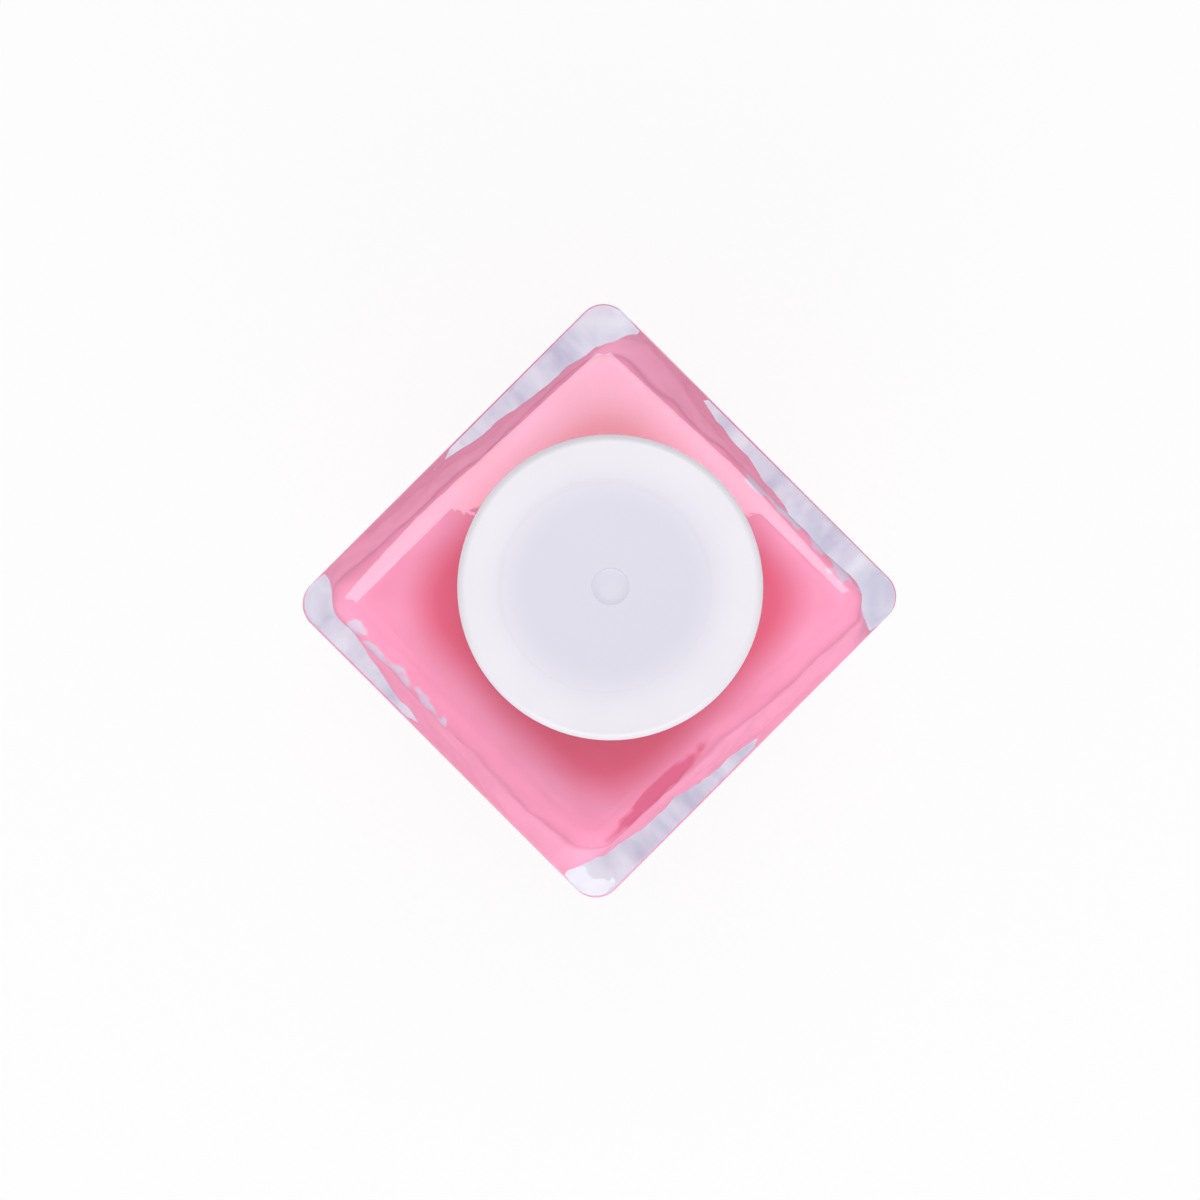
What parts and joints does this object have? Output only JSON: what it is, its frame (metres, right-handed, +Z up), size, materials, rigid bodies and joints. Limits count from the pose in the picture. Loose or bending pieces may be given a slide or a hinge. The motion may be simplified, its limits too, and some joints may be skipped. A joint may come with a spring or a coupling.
{
  "type": "nail polish bottle",
  "caption": "Square glass bottle of pink polish with a tall white screw cap that carries the brush; unscrewing the cap lifts the brush out.",
  "frame": {"origin": "centre of the foot, on the table", "axes": "+Z up along the neck and the cap; +X and +Y square to the flat sides of the glass"},
  "size_m": [0.0316, 0.0324, 0.0715],
  "materials": {
    "clear_glass": "clear moulded glass",
    "pink_polish": "wet creme lacquer",
    "stainless_balls": "polished",
    "label_paper": "coated, blank",
    "liner_foam": "soft foam",
    "inner_cap_plastic": "natural moulded",
    "outer_cap_plastic": "satin",
    "stem_plastic": "natural moulded",
    "bristle_nylon": "fine bristles",
    "staple_steel": "drawn flat wire"
  },
  "bodies": {
    "bottle": {"glass_bottle": "clear_glass", "polish": "pink_polish", "mixing_balls": "stainless_balls", "base_label": "label_paper"},
    "liner": {"sealing_liner": "liner_foam"},
    "closure": {"inner_cap": "inner_cap_plastic", "outer_cap": "outer_cap_plastic", "brush_stem": "stem_plastic", "bristle_tuft": "bristle_nylon", "bristle_staple": "staple_steel"}
  },
  "joints": [
    {"name": "closure_lift", "type": "slide", "parent": "bottle", "child": "liner", "axis": [0, 0, 1], "range_m": [0, 0.04234]},
    {"name": "closure_turn", "type": "hinge", "parent": "liner", "child": "closure", "pos_m": [0, 0, 0.0335], "axis": [0, 0, 1], "range_deg": [0, 7200]}
  ],
  "couplings": [
    {"joint": "closure_lift", "follows": "closure_turn", "m_per_rad": 0.00033693}
  ]
}
